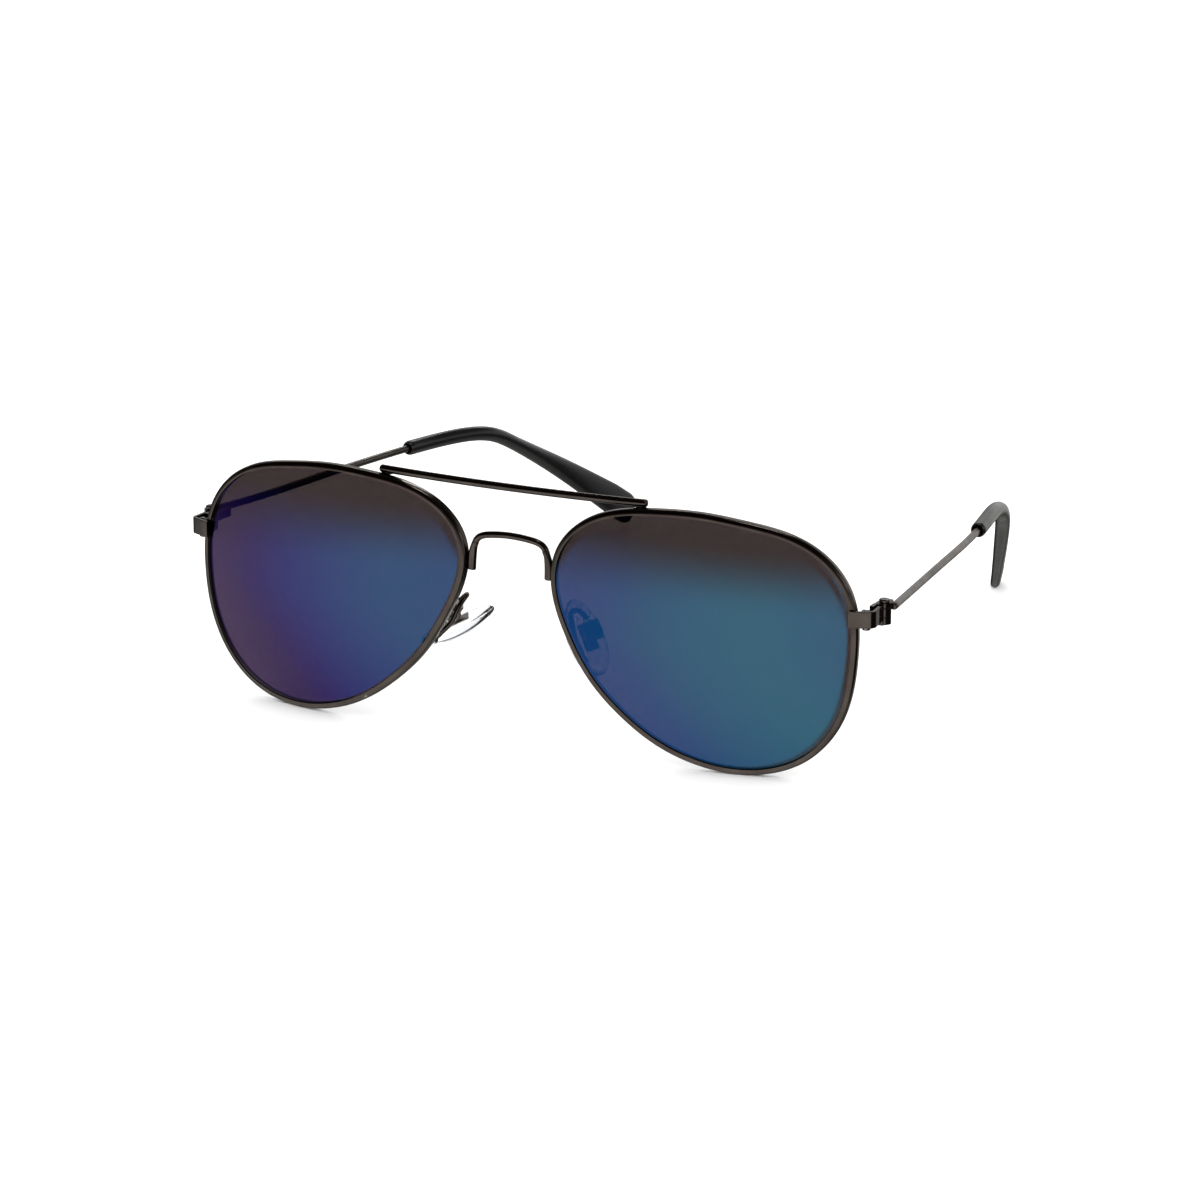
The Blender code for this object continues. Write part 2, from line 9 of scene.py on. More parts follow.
import bmesh
import bpy
import numpy as np
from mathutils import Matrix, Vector

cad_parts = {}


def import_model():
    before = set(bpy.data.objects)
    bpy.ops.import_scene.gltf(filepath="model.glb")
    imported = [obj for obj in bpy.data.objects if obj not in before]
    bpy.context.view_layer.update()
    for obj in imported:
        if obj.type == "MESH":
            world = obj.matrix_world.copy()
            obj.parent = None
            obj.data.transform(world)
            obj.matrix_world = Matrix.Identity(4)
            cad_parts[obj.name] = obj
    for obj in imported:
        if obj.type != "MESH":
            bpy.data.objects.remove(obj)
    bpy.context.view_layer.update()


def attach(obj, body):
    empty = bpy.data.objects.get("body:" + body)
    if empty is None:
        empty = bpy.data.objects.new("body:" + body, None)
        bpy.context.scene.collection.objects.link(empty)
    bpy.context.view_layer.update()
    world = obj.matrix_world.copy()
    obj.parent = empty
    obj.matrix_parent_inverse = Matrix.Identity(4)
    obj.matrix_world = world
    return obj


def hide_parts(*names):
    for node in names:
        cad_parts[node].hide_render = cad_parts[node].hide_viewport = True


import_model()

MM = 0.001

# ---- driving dimensions, in millimetres -------------------------------------------------
Y_SHIFT = 70.28          # puts the middle of the bounding box at y = 0
BASE_RADIUS = 88.8      # radius of the lens surface, a six-base curve
WRAP = math.radians(6)  # each lens turns back by this much at the temples
LENS_X = 39.23          # centre of each lens from the middle
LENS_Z = 24.74         # height of the lens centres above the table
# outer outline of a rim: radius from the lens centre every 22.5 degrees, from the temple side
RIM_KNOTS = (29.9, 30.85, 28.95, 25.6, 24.75, 26.4, 30.55, 32.15,
             27.35, 23.7, 21.9, 22.1, 23.75, 26.7, 29.5, 30.05)
RIM_WIDTH = 1.15        # across the face of the wire
RIM_DEPTH = 1.75        # front to back
GROOVE_FLOOR = 0.5      # wall left outside the lens groove
GROOVE_HALF = 0.55
RIM_STATIONS = 48
SPLIT_Z = 7.1           # the rim is cut here, on the temple side, above the lens centre
SPLIT_GAP = 0.3
LENS_THICK = 1.6
BAR_RADIUS = 0.75       # brow bar
BRIDGE_RADIUS = 0.65
WIRE_RADIUS = 0.72      # temple wire
TIP_RADIUS = 1.5        # round front of the temple tip
BORE_RADIUS = 0.95      # blind bore of the tip, over the wire
HINGE = (70.9, 14.2)    # hinge axis, x and y
HINGE_Z = 31.95
KNUCKLE_RADIUS = 1.3
PIN_HOLE = 0.68
PIN_RADIUS = 0.5
PAD_PIVOT = (14.7, 7.6, 22.1)
PAD_YAW = math.radians(28.2)
PAD_PITCH = math.radians(-4.0)
PAD_TILT = math.radians(-31.0)   # how far the wearer's left pad has rocked
PAD_ROCK = math.radians(-33.2)   # how much further the wearer's right pad has rocked
PAD_LENGTH, PAD_WIDTH = 15.6, 8.0

SIDES = (("left", 1.0), ("right", -1.0))


# ---- curves ------------------------------------------------------------------------------
def periodic_spline(values):
    """A smooth closed curve r(angle) through evenly spaced values."""
    y = np.array(values, float)
    n = len(y)
    h = 2 * math.pi / n
    a = 4 * np.eye(n) + np.roll(np.eye(n), 1, 1) + np.roll(np.eye(n), -1, 1)
    m = np.linalg.solve(a, 6 / h**2 * (np.roll(y, 1) - 2 * y + np.roll(y, -1)))

    def at(angle):
        t = (np.asarray(angle, float) % (2 * math.pi)) / h
        i = np.floor(t).astype(int) % n
        j = (i + 1) % n
        b = t - np.floor(t)
        a_ = 1 - b
        return a_ * y[i] + b * y[j] + ((a_**3 - a_) * m[i] + (b**3 - b) * m[j]) * h**2 / 6

    return at


def spline(points, count, start=0.0, end=1.0):
    """Evenly spaced points on a natural cubic through the given ones, by chord length."""
    p = np.array(points, float)
    s = np.concatenate([[0], np.cumsum(np.linalg.norm(np.diff(p, axis=0), axis=1))])
    n = len(p)
    h = np.diff(s)
    a = np.eye(n)
    rhs = np.zeros_like(p)
    for i in range(1, n - 1):
        a[i, i - 1], a[i, i], a[i, i + 1] = h[i - 1], 2 * (h[i - 1] + h[i]), h[i]
        rhs[i] = 6 * ((p[i + 1] - p[i]) / h[i] - (p[i] - p[i - 1]) / h[i - 1])
    m = np.linalg.solve(a, rhs)
    t = s[-1] * (start + (end - start) * np.linspace(0, 1, count))
    i = np.clip(np.searchsorted(s, t, side="right") - 1, 0, n - 2)
    hh = h[i][:, None]
    b = (t - s[i])[:, None] / hh
    c = 1 - b
    return c * p[i] + b * p[i + 1] + ((c**3 - c) * m[i] + (b**3 - b) * m[i + 1]) * hh**2 / 6


outline = periodic_spline(RIM_KNOTS)


def outline_uv(angle, inset=0.0):
    """A point of the rim's outer outline moved inwards, in the plane of the lens."""
    step = 1e-3
    pts = [np.array([outline(t) * np.cos(t), outline(t) * np.sin(t)])
           for t in (angle - step, angle, angle + step)]
    tangent = pts[2] - pts[0]
    tangent = tangent / np.linalg.norm(tangent, axis=0)
    inward = np.array([-tangent[1], tangent[0]])
    return (pts[1] + inward * inset).T


def lens_point(side, u, v, n):
    """u runs to the temple, v up, n out of the front of the curved lens surface."""
    u, v, n = np.broadcast_arrays(*(np.asarray(k, float) for k in (u, v, n)))
    raw = n - (u * u + v * v) / (2 * BASE_RADIUS)
    x = side * (LENS_X + u * math.cos(WRAP) + raw * math.sin(WRAP))
    y = u * math.sin(WRAP) - raw * math.cos(WRAP)
    return np.stack([x, y, LENS_Z + v], -1)



# ---- materials ---------------------------------------------------------------------------
def nodes_of(name):
    mat = bpy.data.materials.new(name)
    mat.use_nodes = True
    tree = mat.node_tree
    return mat, tree, tree.nodes["Principled BSDF"]


def add(tree, kind, **values):
    node = tree.nodes.new(kind)
    for key, value in values.items():
        if hasattr(node, key):
            setattr(node, key, value)
        else:
            node.inputs[key.replace("_", " ")].default_value = value
    return node


def ramp(tree, source, stops, interpolation="LINEAR"):
    node = tree.nodes.new("ShaderNodeValToRGB")
    node.color_ramp.interpolation = interpolation
    elements = node.color_ramp.elements
    while len(elements) < len(stops):
        elements.new(0.5)
    for element, (at, value) in zip(elements, stops):
        element.position = at
        element.color = (*value, 1) if isinstance(value, tuple) else (value, value, value, 1)
    tree.links.new(source, node.inputs["Fac"])
    return node.outputs["Color"]


def noise(tree, scale, detail=4.0, roughness=0.6, stretch=None):
    coord = tree.nodes.new("ShaderNodeTexCoord")
    source = coord.outputs["Object"]
    if stretch:
        mapping = add(tree, "ShaderNodeMapping")
        mapping.inputs["Scale"].default_value = stretch
        tree.links.new(source, mapping.inputs["Vector"])
        source = mapping.outputs["Vector"]
    node = add(tree, "ShaderNodeTexNoise")
    node.inputs["Scale"].default_value = scale
    node.inputs["Detail"].default_value = detail
    node.inputs["Roughness"].default_value = roughness
    tree.links.new(source, node.inputs["Vector"])
    return node.outputs["Fac"]


def bump(tree, shader, height, distance, strength=1.0):
    node = add(tree, "ShaderNodeBump")
    node.inputs["Distance"].default_value = distance
    node.inputs["Strength"].default_value = strength
    tree.links.new(height, node.inputs["Height"])
    tree.links.new(node.outputs["Normal"], shader.inputs["Normal"])


def metal(name, dark, light, worn, rough_low, rough_high, grain=900.0, grain_height=2.5e-6):
    """Plated metal: cloudy tone, fine polishing grain, bare bright spots on the edges."""
    mat, tree, shader = nodes_of(name)
    shader.inputs["Metallic"].default_value = 1.0
    cloud = noise(tree, 160.0, 3.0)
    base = ramp(tree, cloud, [(0.32, dark), (0.68, light)])
    geometry = tree.nodes.new("ShaderNodeNewGeometry")
    edge = ramp(tree, geometry.outputs["Pointiness"], [(0.56, 0.0), (0.66, 1.0)])
    speck = ramp(tree, noise(tree, 700.0, 2.0), [(0.5, 0.0), (0.66, 1.0)])
    wear = add(tree, "ShaderNodeMath", operation="MULTIPLY")
    tree.links.new(edge, wear.inputs[0])
    tree.links.new(speck, wear.inputs[1])
    mix = add(tree, "ShaderNodeMix", data_type="RGBA")
    tree.links.new(wear.outputs[0], mix.inputs["Factor"])
    tree.links.new(base, mix.inputs["A"])
    mix.inputs["B"].default_value = (*worn, 1)
    tree.links.new(mix.outputs["Result"], shader.inputs["Base Color"])
    rough = ramp(tree, noise(tree, 420.0, 5.0), [(0.3, rough_low), (0.7, rough_high)])
    tree.links.new(rough, shader.inputs["Roughness"])
    bump(tree, shader, noise(tree, grain, 4.0, 0.7), grain_height)
    return mat


def plastic(name, base, rough_low, rough_high):
    """Moulded black plastic: faint orange peel, handling haze in the roughness."""
    mat, tree, shader = nodes_of(name)
    shader.inputs["IOR"].default_value = 1.5
    tone = ramp(tree, noise(tree, 120.0, 3.0),
                [(0.35, base), (0.7, tuple(k * 1.7 for k in base))])
    tree.links.new(tone, shader.inputs["Base Color"])
    haze = ramp(tree, noise(tree, 260.0, 6.0, 0.7), [(0.3, rough_low), (0.75, rough_high)])
    tree.links.new(haze, shader.inputs["Roughness"])
    bump(tree, shader, noise(tree, 520.0, 3.0, 0.5), 6e-6)
    return mat


def clear(name):
    """Soft clear pad: a little milky, with shallow mould texture and handling marks."""
    mat, tree, shader = nodes_of(name)
    shader.inputs["Base Color"].default_value = (0.93, 0.95, 0.97, 1)
    shader.inputs["Transmission Weight"].default_value = 1.0
    shader.inputs["IOR"].default_value = 1.42
    rough = ramp(tree, noise(tree, 300.0, 5.0), [(0.35, 0.03), (0.7, 0.14)])
    tree.links.new(rough, shader.inputs["Roughness"])
    tone = ramp(tree, noise(tree, 150.0, 3.0), [(0.3, (0.9, 0.925, 0.95)), (0.7, (0.96, 0.97, 0.98))])
    tree.links.new(tone, shader.inputs["Base Color"])
    bump(tree, shader, noise(tree, 350.0, 3.0), 8e-6)
    return mat


def mirror_front(name):
    """Interference mirror on the front of a lens, with a painted reflection hue laid out by position: violet at
    the wearer's right, blue, then teal at the wearer's left, a little bluer low down, standing in for the
    coating's colour changing with viewing angle; some light still passes."""
    mat, tree, shader = nodes_of(name)
    coord = tree.nodes.new("ShaderNodeTexCoord")
    split = add(tree, "ShaderNodeSeparateXYZ")
    tree.links.new(coord.outputs["Object"], split.inputs[0])
    # painted reflection hue: below the middle of the lens the painted sweep shifts sideways, standing in for the
    # coating seen at a steeper angle
    painted_angle_hue_below = add(tree, "ShaderNodeMath", operation="SUBTRACT")
    tree.links.new(split.outputs["Z"], painted_angle_hue_below.inputs[0])
    painted_angle_hue_below.inputs[1].default_value = LENS_Z * MM
    painted_angle_hue_low = add(tree, "ShaderNodeMath", operation="MINIMUM")
    tree.links.new(painted_angle_hue_below.outputs[0], painted_angle_hue_low.inputs[0])
    painted_angle_hue_low.inputs[1].default_value = 0.0
    place = add(tree, "ShaderNodeMath", operation="MULTIPLY_ADD")
    tree.links.new(painted_angle_hue_low.outputs[0], place.inputs[0])
    place.inputs[1].default_value = 0.8
    tree.links.new(split.outputs["X"], place.inputs[2])
    painted_angle_hue_drift = add(tree, "ShaderNodeMath", operation="MULTIPLY_ADD")
    tree.links.new(noise(tree, 35.0, 2.0), painted_angle_hue_drift.inputs[0])
    painted_angle_hue_drift.inputs[1].default_value = 0.004
    tree.links.new(place.outputs[0], painted_angle_hue_drift.inputs[2])
    # painted reflection hue: the position across the lens picks the coating colour, in place of the viewing angle
    painted_angle_hue_sweep = add(tree, "ShaderNodeMapRange")
    painted_angle_hue_sweep.inputs["From Min"].default_value = -0.076
    painted_angle_hue_sweep.inputs["From Max"].default_value = 0.074
    tree.links.new(painted_angle_hue_drift.outputs[0], painted_angle_hue_sweep.inputs["Value"])
    # painted reflection colours of the coating, violet, blue and teal, laid out by position
    stops = [(0.02, (0.0211, 0.001, 0.0521)), (0.053, (0.0146, 0.001, 0.0521)), (0.101, (0.01, 0.001, 0.0542)),
             (0.153, (0.0042, 0.001, 0.0806)), (0.205, (0.001, 0.0109, 0.1113)), (0.258, (0.001, 0.0243, 0.1254)),
             (0.311, (0.001, 0.0379, 0.1342)), (0.365, (0.001, 0.0492, 0.1372)), (0.419, (0.001, 0.0473, 0.1372)),
             (0.62, (0.0056, 0.0379, 0.1403)), (0.673, (0.0028, 0.0453, 0.1433)), (0.727, (0.001, 0.0638, 0.1403)),
             (0.78, (0.001, 0.075, 0.1433)), (0.833, (0.001, 0.0821, 0.1372)), (0.887, (0.001, 0.0821, 0.1403)),
             (0.94, (0.001, 0.0727, 0.1372)), (0.973, (0.001, 0.0638, 0.1313))]
    colour = ramp(tree, painted_angle_hue_sweep.outputs["Result"], stops)
    tree.links.new(colour, shader.inputs["Base Color"])
    shader.inputs["Metallic"].default_value = 1.0
    rough = ramp(tree, noise(tree, 90.0, 6.0, 0.65), [(0.35, 0.05), (0.7, 0.085)])
    tree.links.new(rough, shader.inputs["Roughness"])
    bump(tree, shader, noise(tree, 60.0, 2.0), 1.2e-6)
    through = add(tree, "ShaderNodeBsdfTransparent")
    through.inputs["Color"].default_value = (1.0, 0.95, 0.94, 1)
    mix = add(tree, "ShaderNodeMixShader")
    mix.inputs["Fac"].default_value = 0.87
    tree.links.new(through.outputs[0], mix.inputs[1])
    tree.links.new(shader.outputs[0], mix.inputs[2])
    tree.links.new(mix.outputs[0], tree.nodes["Material Output"].inputs["Surface"])
    return mat


def tint_back(name):
    """Brown-grey tinted body of the lens, seen from its edge and its back."""
    mat, tree, shader = nodes_of(name)
    shader.inputs["Base Color"].default_value = (0.012, 0.009, 0.008, 1)
    shader.inputs["IOR"].default_value = 1.5
    smear = ramp(tree, noise(tree, 110.0, 6.0, 0.7), [(0.4, 0.03), (0.75, 0.12)])
    tree.links.new(smear, shader.inputs["Roughness"])
    through = add(tree, "ShaderNodeBsdfTransparent")
    through.inputs["Color"].default_value = (0.242, 0.190, 0.184, 1)
    mix = add(tree, "ShaderNodeMixShader")
    facing = add(tree, "ShaderNodeLayerWeight")
    gloss = add(tree, "ShaderNodeMapRange")
    gloss.inputs["From Min"].default_value = 0.45
    gloss.inputs["To Min"].default_value = 0.04
    gloss.inputs["To Max"].default_value = 0.6
    tree.links.new(facing.outputs["Facing"], gloss.inputs["Value"])
    tree.links.new(gloss.outputs["Result"], mix.inputs["Fac"])
    tree.links.new(through.outputs[0], mix.inputs[1])
    tree.links.new(shader.outputs[0], mix.inputs[2])
    tree.links.new(mix.outputs[0], tree.nodes["Material Output"].inputs["Surface"])
    return mat


GUNMETAL = metal("gunmetal_plating", (0.054, 0.044, 0.038), (0.086, 0.073, 0.064),
                 (0.34, 0.30, 0.27), 0.12, 0.22)
GUNMETAL_WIRE = metal("gunmetal_drawn_wire", (0.09, 0.08, 0.073), (0.15, 0.135, 0.123),
                      (0.4, 0.37, 0.34), 0.24, 0.38, grain=1500.0, grain_height=4e-6)
STEEL = metal("turned_steel", (0.13, 0.12, 0.115), (0.24, 0.225, 0.215), (0.55, 0.53, 0.5),
              0.16, 0.3, grain=1200.0)
TIP = plastic("black_moulded_tip", (0.003, 0.003, 0.0035), 0.24, 0.36)
CLEAR = clear("clear_silicone")
MIRROR = mirror_front("lens_mirror_coating")
TINT = tint_back("lens_tinted_body")


# ---- meshes ------------------------------------------------------------------------------
def finish_mesh(name, data, mats, body, stands_for, smooth, sharp, bevel, floor=False):
    bm = bmesh.new()
    bm.from_mesh(data)
    bmesh.ops.remove_doubles(bm, verts=bm.verts, dist=1e-7)
    if floor:
        geom = list(bm.verts) + list(bm.edges) + list(bm.faces)
        cut = bmesh.ops.bisect_plane(bm, geom=geom, plane_co=(0, 0, 0), plane_no=(0, 0, -1),
                                     clear_outer=True, dist=1e-8)
        edges = [e for e in cut["geom_cut"] if isinstance(e, bmesh.types.BMEdge)]
        bmesh.ops.contextual_create(bm, geom=edges)
    bmesh.ops.recalc_face_normals(bm, faces=bm.faces)
    bm.to_mesh(data)
    bm.free()
    for mat in mats:
        data.materials.append(mat)
    obj = bpy.data.objects.new(name, data)
    bpy.context.scene.collection.objects.link(obj)
    for polygon in data.polygons:
        polygon.use_smooth = smooth
    if bevel:
        mod = obj.modifiers.new("soft_edges", "BEVEL")
        mod.width = bevel * MM
        mod.segments = 3
        mod.limit_method = "ANGLE"
        mod.angle_limit = math.radians(28)
        mod.harden_normals = True
    elif smooth and sharp:
        data.set_sharp_from_angle(angle=math.radians(sharp))
    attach(obj, body)
    if stands_for:
        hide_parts(*stands_for)
    return obj


def piece(name, shapes, mats, body, stands_for, smooth=True, sharp=42.0, bevel=0.0,
          union=False, floor=False):
    """One shown piece from one or more closed shapes (verts in mm, faces)."""
    if not isinstance(mats, (list, tuple)):
        mats = [mats]
    if not union:
        verts, faces, start = [], [], 0
        for v, f in shapes:
            verts.append(np.asarray(v, float))
            faces += [tuple(int(i) + start for i in face) for face in f]
            start += len(v)
        data = mesh_of(name, np.concatenate(verts), faces)
    else:
        base = temp_object(shapes[0])
        for shape in shapes[1:]:
            other = temp_object(shape)
            boolean(base, other, "UNION")
        data = base.data
        data.name = name
        bpy.data.objects.remove(base)
    return finish_mesh(name, data, mats, body, stands_for, smooth, sharp, bevel, floor)


def mesh_of(name, verts, faces):
    data = bpy.data.meshes.new(name)
    shift = np.array([0.0, Y_SHIFT, 0.0])
    data.from_pydata([tuple(p) for p in (np.asarray(verts) - shift) * MM], [],
                     [tuple(int(i) for i in f) for f in faces])
    return data


def temp_object(shape):
    data = mesh_of("temp", *shape)
    bm = bmesh.new()
    bm.from_mesh(data)
    bmesh.ops.remove_doubles(bm, verts=bm.verts, dist=1e-7)
    bmesh.ops.recalc_face_normals(bm, faces=bm.faces)
    bm.to_mesh(data)
    bm.free()
    obj = bpy.data.objects.new("temp", data)
    bpy.context.scene.collection.objects.link(obj)
    return obj


def boolean(base, other, operation):
    """Applies an exact Boolean of other to base, and removes other."""
    mod = base.modifiers.new("b", "BOOLEAN")
    mod.operation = operation
    mod.solver = "EXACT"
    mod.object = other
    graph = bpy.context.evaluated_depsgraph_get()
    graph.update()
    done = bpy.data.meshes.new_from_object(base.evaluated_get(graph))
    base.modifiers.clear()
    base.data = done
    bpy.data.objects.remove(other)


def cut_slots(shape, cutters):
    """A turned shape with screwdriver slots cut into its head."""
    base = temp_object(shape)
    for cutter in cutters:
        boolean(base, temp_object(cutter), "DIFFERENCE")
    v = np.array([p.co for p in base.data.vertices]) / MM + np.array([0, Y_SHIFT, 0])
    f = [tuple(p.vertices) for p in base.data.polygons]
    bpy.data.objects.remove(base)
    return v, f


def block(centre, ax, ay, az, sx, sy, sz):
    """A box with its middle at centre and half sizes along three axes."""
    centre, ax, ay, az = (np.array(k, float) for k in (centre, ax, ay, az))
    low, high = [], []
    for i, j in ((-1, -1), (1, -1), (1, 1), (-1, 1)):
        p = centre + ax * sx * i + ay * sy * j
        low.append(p - az * sz)
        high.append(p + az * sz)
    return rings([np.array(low), np.array(high)])


def rounded(points, radius, steps=4):
    """The corners of a plan polygon rounded off."""
    out = []
    n = len(points)
    for i in range(n):
        p = np.array(points[i], float)
        a = np.array(points[i - 1], float) - p
        b = np.array(points[(i + 1) % n], float) - p
        la, lb = np.linalg.norm(a), np.linalg.norm(b)
        r = min(radius, la * 0.45, lb * 0.45)
        pa, pb = p + a / la * r, p + b / lb * r
        for k in range(steps + 1):
            t = k / steps
            out.append(tuple((1 - t) ** 2 * pa + 2 * t * (1 - t) * p + t * t * pb))
    return out

def rings(stations, closed=False, cap_start=True, cap_end=True):
    """Faces that join rows of equal length into a tube."""
    stations = [np.asarray(s, float) for s in stations]
    m = len(stations[0])
    verts = np.concatenate(stations)
    faces = []
    n = len(stations)
    for i in range(n if closed else n - 1):
        a, b = i * m, ((i + 1) % n) * m
        for j in range(m):
            k = (j + 1) % m
            faces.append((a + j, a + k, b + k, b + j))
    if not closed:
        if cap_start:
            faces.append(tuple(range(m))[::-1])
        if cap_end:
            faces.append(tuple(range((n - 1) * m, n * m)))
    return verts, faces


def frames(path, reference):
    """Unit tangent, first and second cross axes at each point; the first follows reference."""
    path = np.asarray(path, float)
    t = np.gradient(path, axis=0)
    t /= np.linalg.norm(t, axis=1)[:, None]
    ref = np.array(reference, float)
    e1 = ref - (t @ ref)[:, None] * t
    e1 /= np.linalg.norm(e1, axis=1)[:, None]
    return t, e1, np.cross(t, e1)


def circle(radius, count, phase=0.0):
    a = phase + 2 * math.pi * np.arange(count) / count
    return np.stack([radius * np.cos(a), radius * np.sin(a)], -1)


def tube(path, radius, count, reference, round_ends=0):
    """A round wire along a path, with ends rounded over when round_ends > 0."""
    path = np.asarray(path, float)
    t, e1, e2 = frames(path, reference)
    loop = circle(1.0, count)
    rows = []

    def ring(i, r, shift=0.0):
        c = path[i] + t[i] * shift
        return c + r * (loop[:, :1] * e1[i] + loop[:, 1:] * e2[i])

    for k in range(round_ends):
        a = math.pi / 2 * (k + 0.4) / (round_ends + 0.4)
        rows.append(ring(0, radius * math.sin(a), -radius * math.cos(a) * 0.6))
    rows += [ring(i, radius) for i in range(len(path))]
    for k in reversed(range(round_ends)):
        a = math.pi / 2 * (k + 0.4) / (round_ends + 0.4)
        rows.append(ring(-1, radius * math.sin(a), radius * math.cos(a) * 0.6))
    return rings(rows)


def lathe(axis_point, axis, profile, count=16):
    """A turned solid: profile is (radius, height) along the axis from end to end."""
    axis = np.array(axis, float) / np.linalg.norm(axis)
    ref = np.array([1.0, 0, 0]) if abs(axis[0]) < 0.8 else np.array([0, 1.0, 0])
    e1 = ref - (ref @ axis) * axis
    e1 /= np.linalg.norm(e1)
    e2 = np.cross(axis, e1)
    loop = circle(1.0, count)
    rows = [np.array(axis_point) + axis * h + r * (loop[:, :1] * e1 + loop[:, 1:] * e2)
            for r, h in profile]
    return rings(rows)


def ray_radius(poly, angle):
    """How far a ray from the middle reaches in a convex polygon that holds the middle."""
    d = np.array([math.cos(angle), math.sin(angle)])
    best = 0.0
    for a, b in zip(poly, poly[1:] + poly[:1]):
        a, b = np.array(a, float), np.array(b, float)
        e = b - a
        det = d[0] * -e[1] + d[1] * e[0]
        if abs(det) < 1e-12:
            continue
        r = (a[0] * -e[1] + a[1] * e[0]) / det
        s = (d[0] * a[1] - d[1] * a[0]) / det
        if r > 0 and -1e-9 <= s <= 1 + 1e-9:
            best = max(best, r)
    return best


def eye_plate(centre, ex, ey, ez, poly, radius, hole, z0, z1, count=20):
    """A plate of polygon poly joined to a round boss, with a round hole through the middle."""
    angles = set(round(2 * math.pi * i / count, 9) for i in range(count))
    for x, y in poly or ():
        if math.hypot(x, y) > radius * 1.0001:
            angles.add(round(math.atan2(y, x) % (2 * math.pi), 9))
    if poly and radius > 0:
        # the corners where the plate leaves the boss
        fine = [ray_radius(poly, 2 * math.pi * i / 720) > radius for i in range(720)]
        for i in range(720):
            if fine[i] != fine[i - 1]:
                angles.add(round(2 * math.pi * (i - 0.5) / 720 % (2 * math.pi), 9))
    angles = sorted(angles)
    keep = [angles[0]]
    for a in angles[1:]:
        if a - keep[-1] > 0.03:
            keep.append(a)
    centre, ex, ey, ez = (np.array(k, float) for k in (centre, ex, ey, ez))
    outer, inner = [], []
    for a in keep:
        r = max(radius, ray_radius(poly, a) if poly else 0.0)
        d = ex * math.cos(a) + ey * math.sin(a)
        outer.append(centre + d * r)
        inner.append(centre + d * hole)
    outer, inner = np.array(outer), np.array(inner)
    rows = [outer + ez * z0, outer + ez * z1, inner + ez * z1, inner + ez * z0]
    return rings(rows, closed=True)


def prism(poly, z0, z1, place):
    """A straight extrusion; place turns plan points and a height into world points."""
    low = np.array([place(x, y, z0) for x, y in poly])
    high = np.array([place(x, y, z1) for x, y in poly])
    return rings([low, high])


def turn(axis, angle):
    x, y, z = np.array(axis, float) / np.linalg.norm(axis)
    k = np.array([[0, -z, y], [z, 0, -x], [-y, x, 0]])
    return np.eye(3) + math.sin(angle) * k + (1 - math.cos(angle)) * k @ k


def flip(side, vec):
    return np.array(vec, float) * np.array([side, 1, 1])


def pad_axes(side, rocked):
    """Screw axis, long axis and outward normal of a pad that faces the nose."""
    a = np.array([math.sin(PAD_YAW) * math.cos(PAD_PITCH),
                  math.cos(PAD_YAW) * math.cos(PAD_PITCH), -math.sin(PAD_PITCH)])
    up = np.array([0, 0, 1.0])
    long = up - (up @ a) * a
    long /= np.linalg.norm(long)
    normal = -np.cross(a, long)
    spin = turn(a, PAD_TILT + (PAD_ROCK if rocked else 0.0))
    return flip(side, a), flip(side, spin @ long), flip(side, spin @ normal)


TEMPLE = [(72.15, 15.85, 32.7), (69.85, 32.0, 31.9), (67.4, 52.0, 31.3), (63.6, 78.6, 30.5)]
# the two ends differ a little: the wearer's right one turns in further and is bent down less
HOOK = {"left": [(62.1, 86.5, 30.4), (60.6, 93.5, 29.7), (59.2, 99.5, 28.0), (57.1, 106.0, 24.6),
                 (53.2, 115.5, 17.9), (48.0, 127.6, 9.7), (42.2, 141.0, 1.15)],
        "right": [(60.3, 90.0, 30.45), (56.5, 97.0, 30.4), (54.6, 102.0, 29.2),
                  (53.0, 108.0, 26.2), (49.5, 121.8, 18.1), (41.4, 140.6, 4.4)]}
# shares of the length of the temple's centre line
TIP_START = {"left": 0.439, "right": 0.478}
CORE_END = 0.80
BORE_END = 0.812


def temple_points(word, side):
    return [flip(side, p) for p in TEMPLE + HOOK[word]]


def tip_half_sizes(share):
    """Half thickness and half height of the tip: round in front, a flat paddle at its end."""
    t = min(max((share - 0.7) / 0.25, 0.0), 1.0) ** 1.4
    return TIP_RADIUS + t * (1.12 - TIP_RADIUS), TIP_RADIUS + t * (3.4 - TIP_RADIUS)



# ---- the fixed front ---------------------------------------------------------------------
def rim_cut():
    cut = math.atan2(SPLIT_Z, math.sqrt(float(outline(0.235)) ** 2 - SPLIT_Z**2))
    return cut, 0.5 * SPLIT_GAP / float(outline(cut))


def rim_section():
    """Grooved wire, in (inset, n): rounded outside, flat polished face, lens groove inside."""
    d = RIM_DEPTH / 2
    points = []
    for k in range(9):
        a = math.pi / 2 * (1 - k / 8)
        points.append((0.34 - 0.34 * math.cos(math.pi / 2 - a), -(d - 0.42) - 0.42 * math.sin(math.pi / 2 - a)))
    w = RIM_WIDTH
    points += [(0.62, -d), (w - 0.14, -d), (w - 0.04, -d + 0.04), (w, -d + 0.14),
               (w, -GROOVE_HALF - 0.06), (w - 0.05, -GROOVE_HALF), (GROOVE_FLOOR + 0.04, -GROOVE_HALF),
               (GROOVE_FLOOR, -GROOVE_HALF + 0.05)]
    return points + [(i, -n) for i, n in reversed(points)]


def rim(word, side):
    cut, half = rim_cut()
    section = rim_section()
    angles = np.linspace(cut + half, cut + 2 * math.pi - half, 241)
    loops = [lens_point(side, *np.array([outline_uv(a, inset) for a in angles]).T, n)
             for inset, n in section]
    rows = [np.array([loop[i] for loop in loops]) for i in range(len(angles))]
    piece(f"rim_wire_{word}", [rings(rows)], GUNMETAL, "front", [f"rim_{word}"],
          sharp=50)


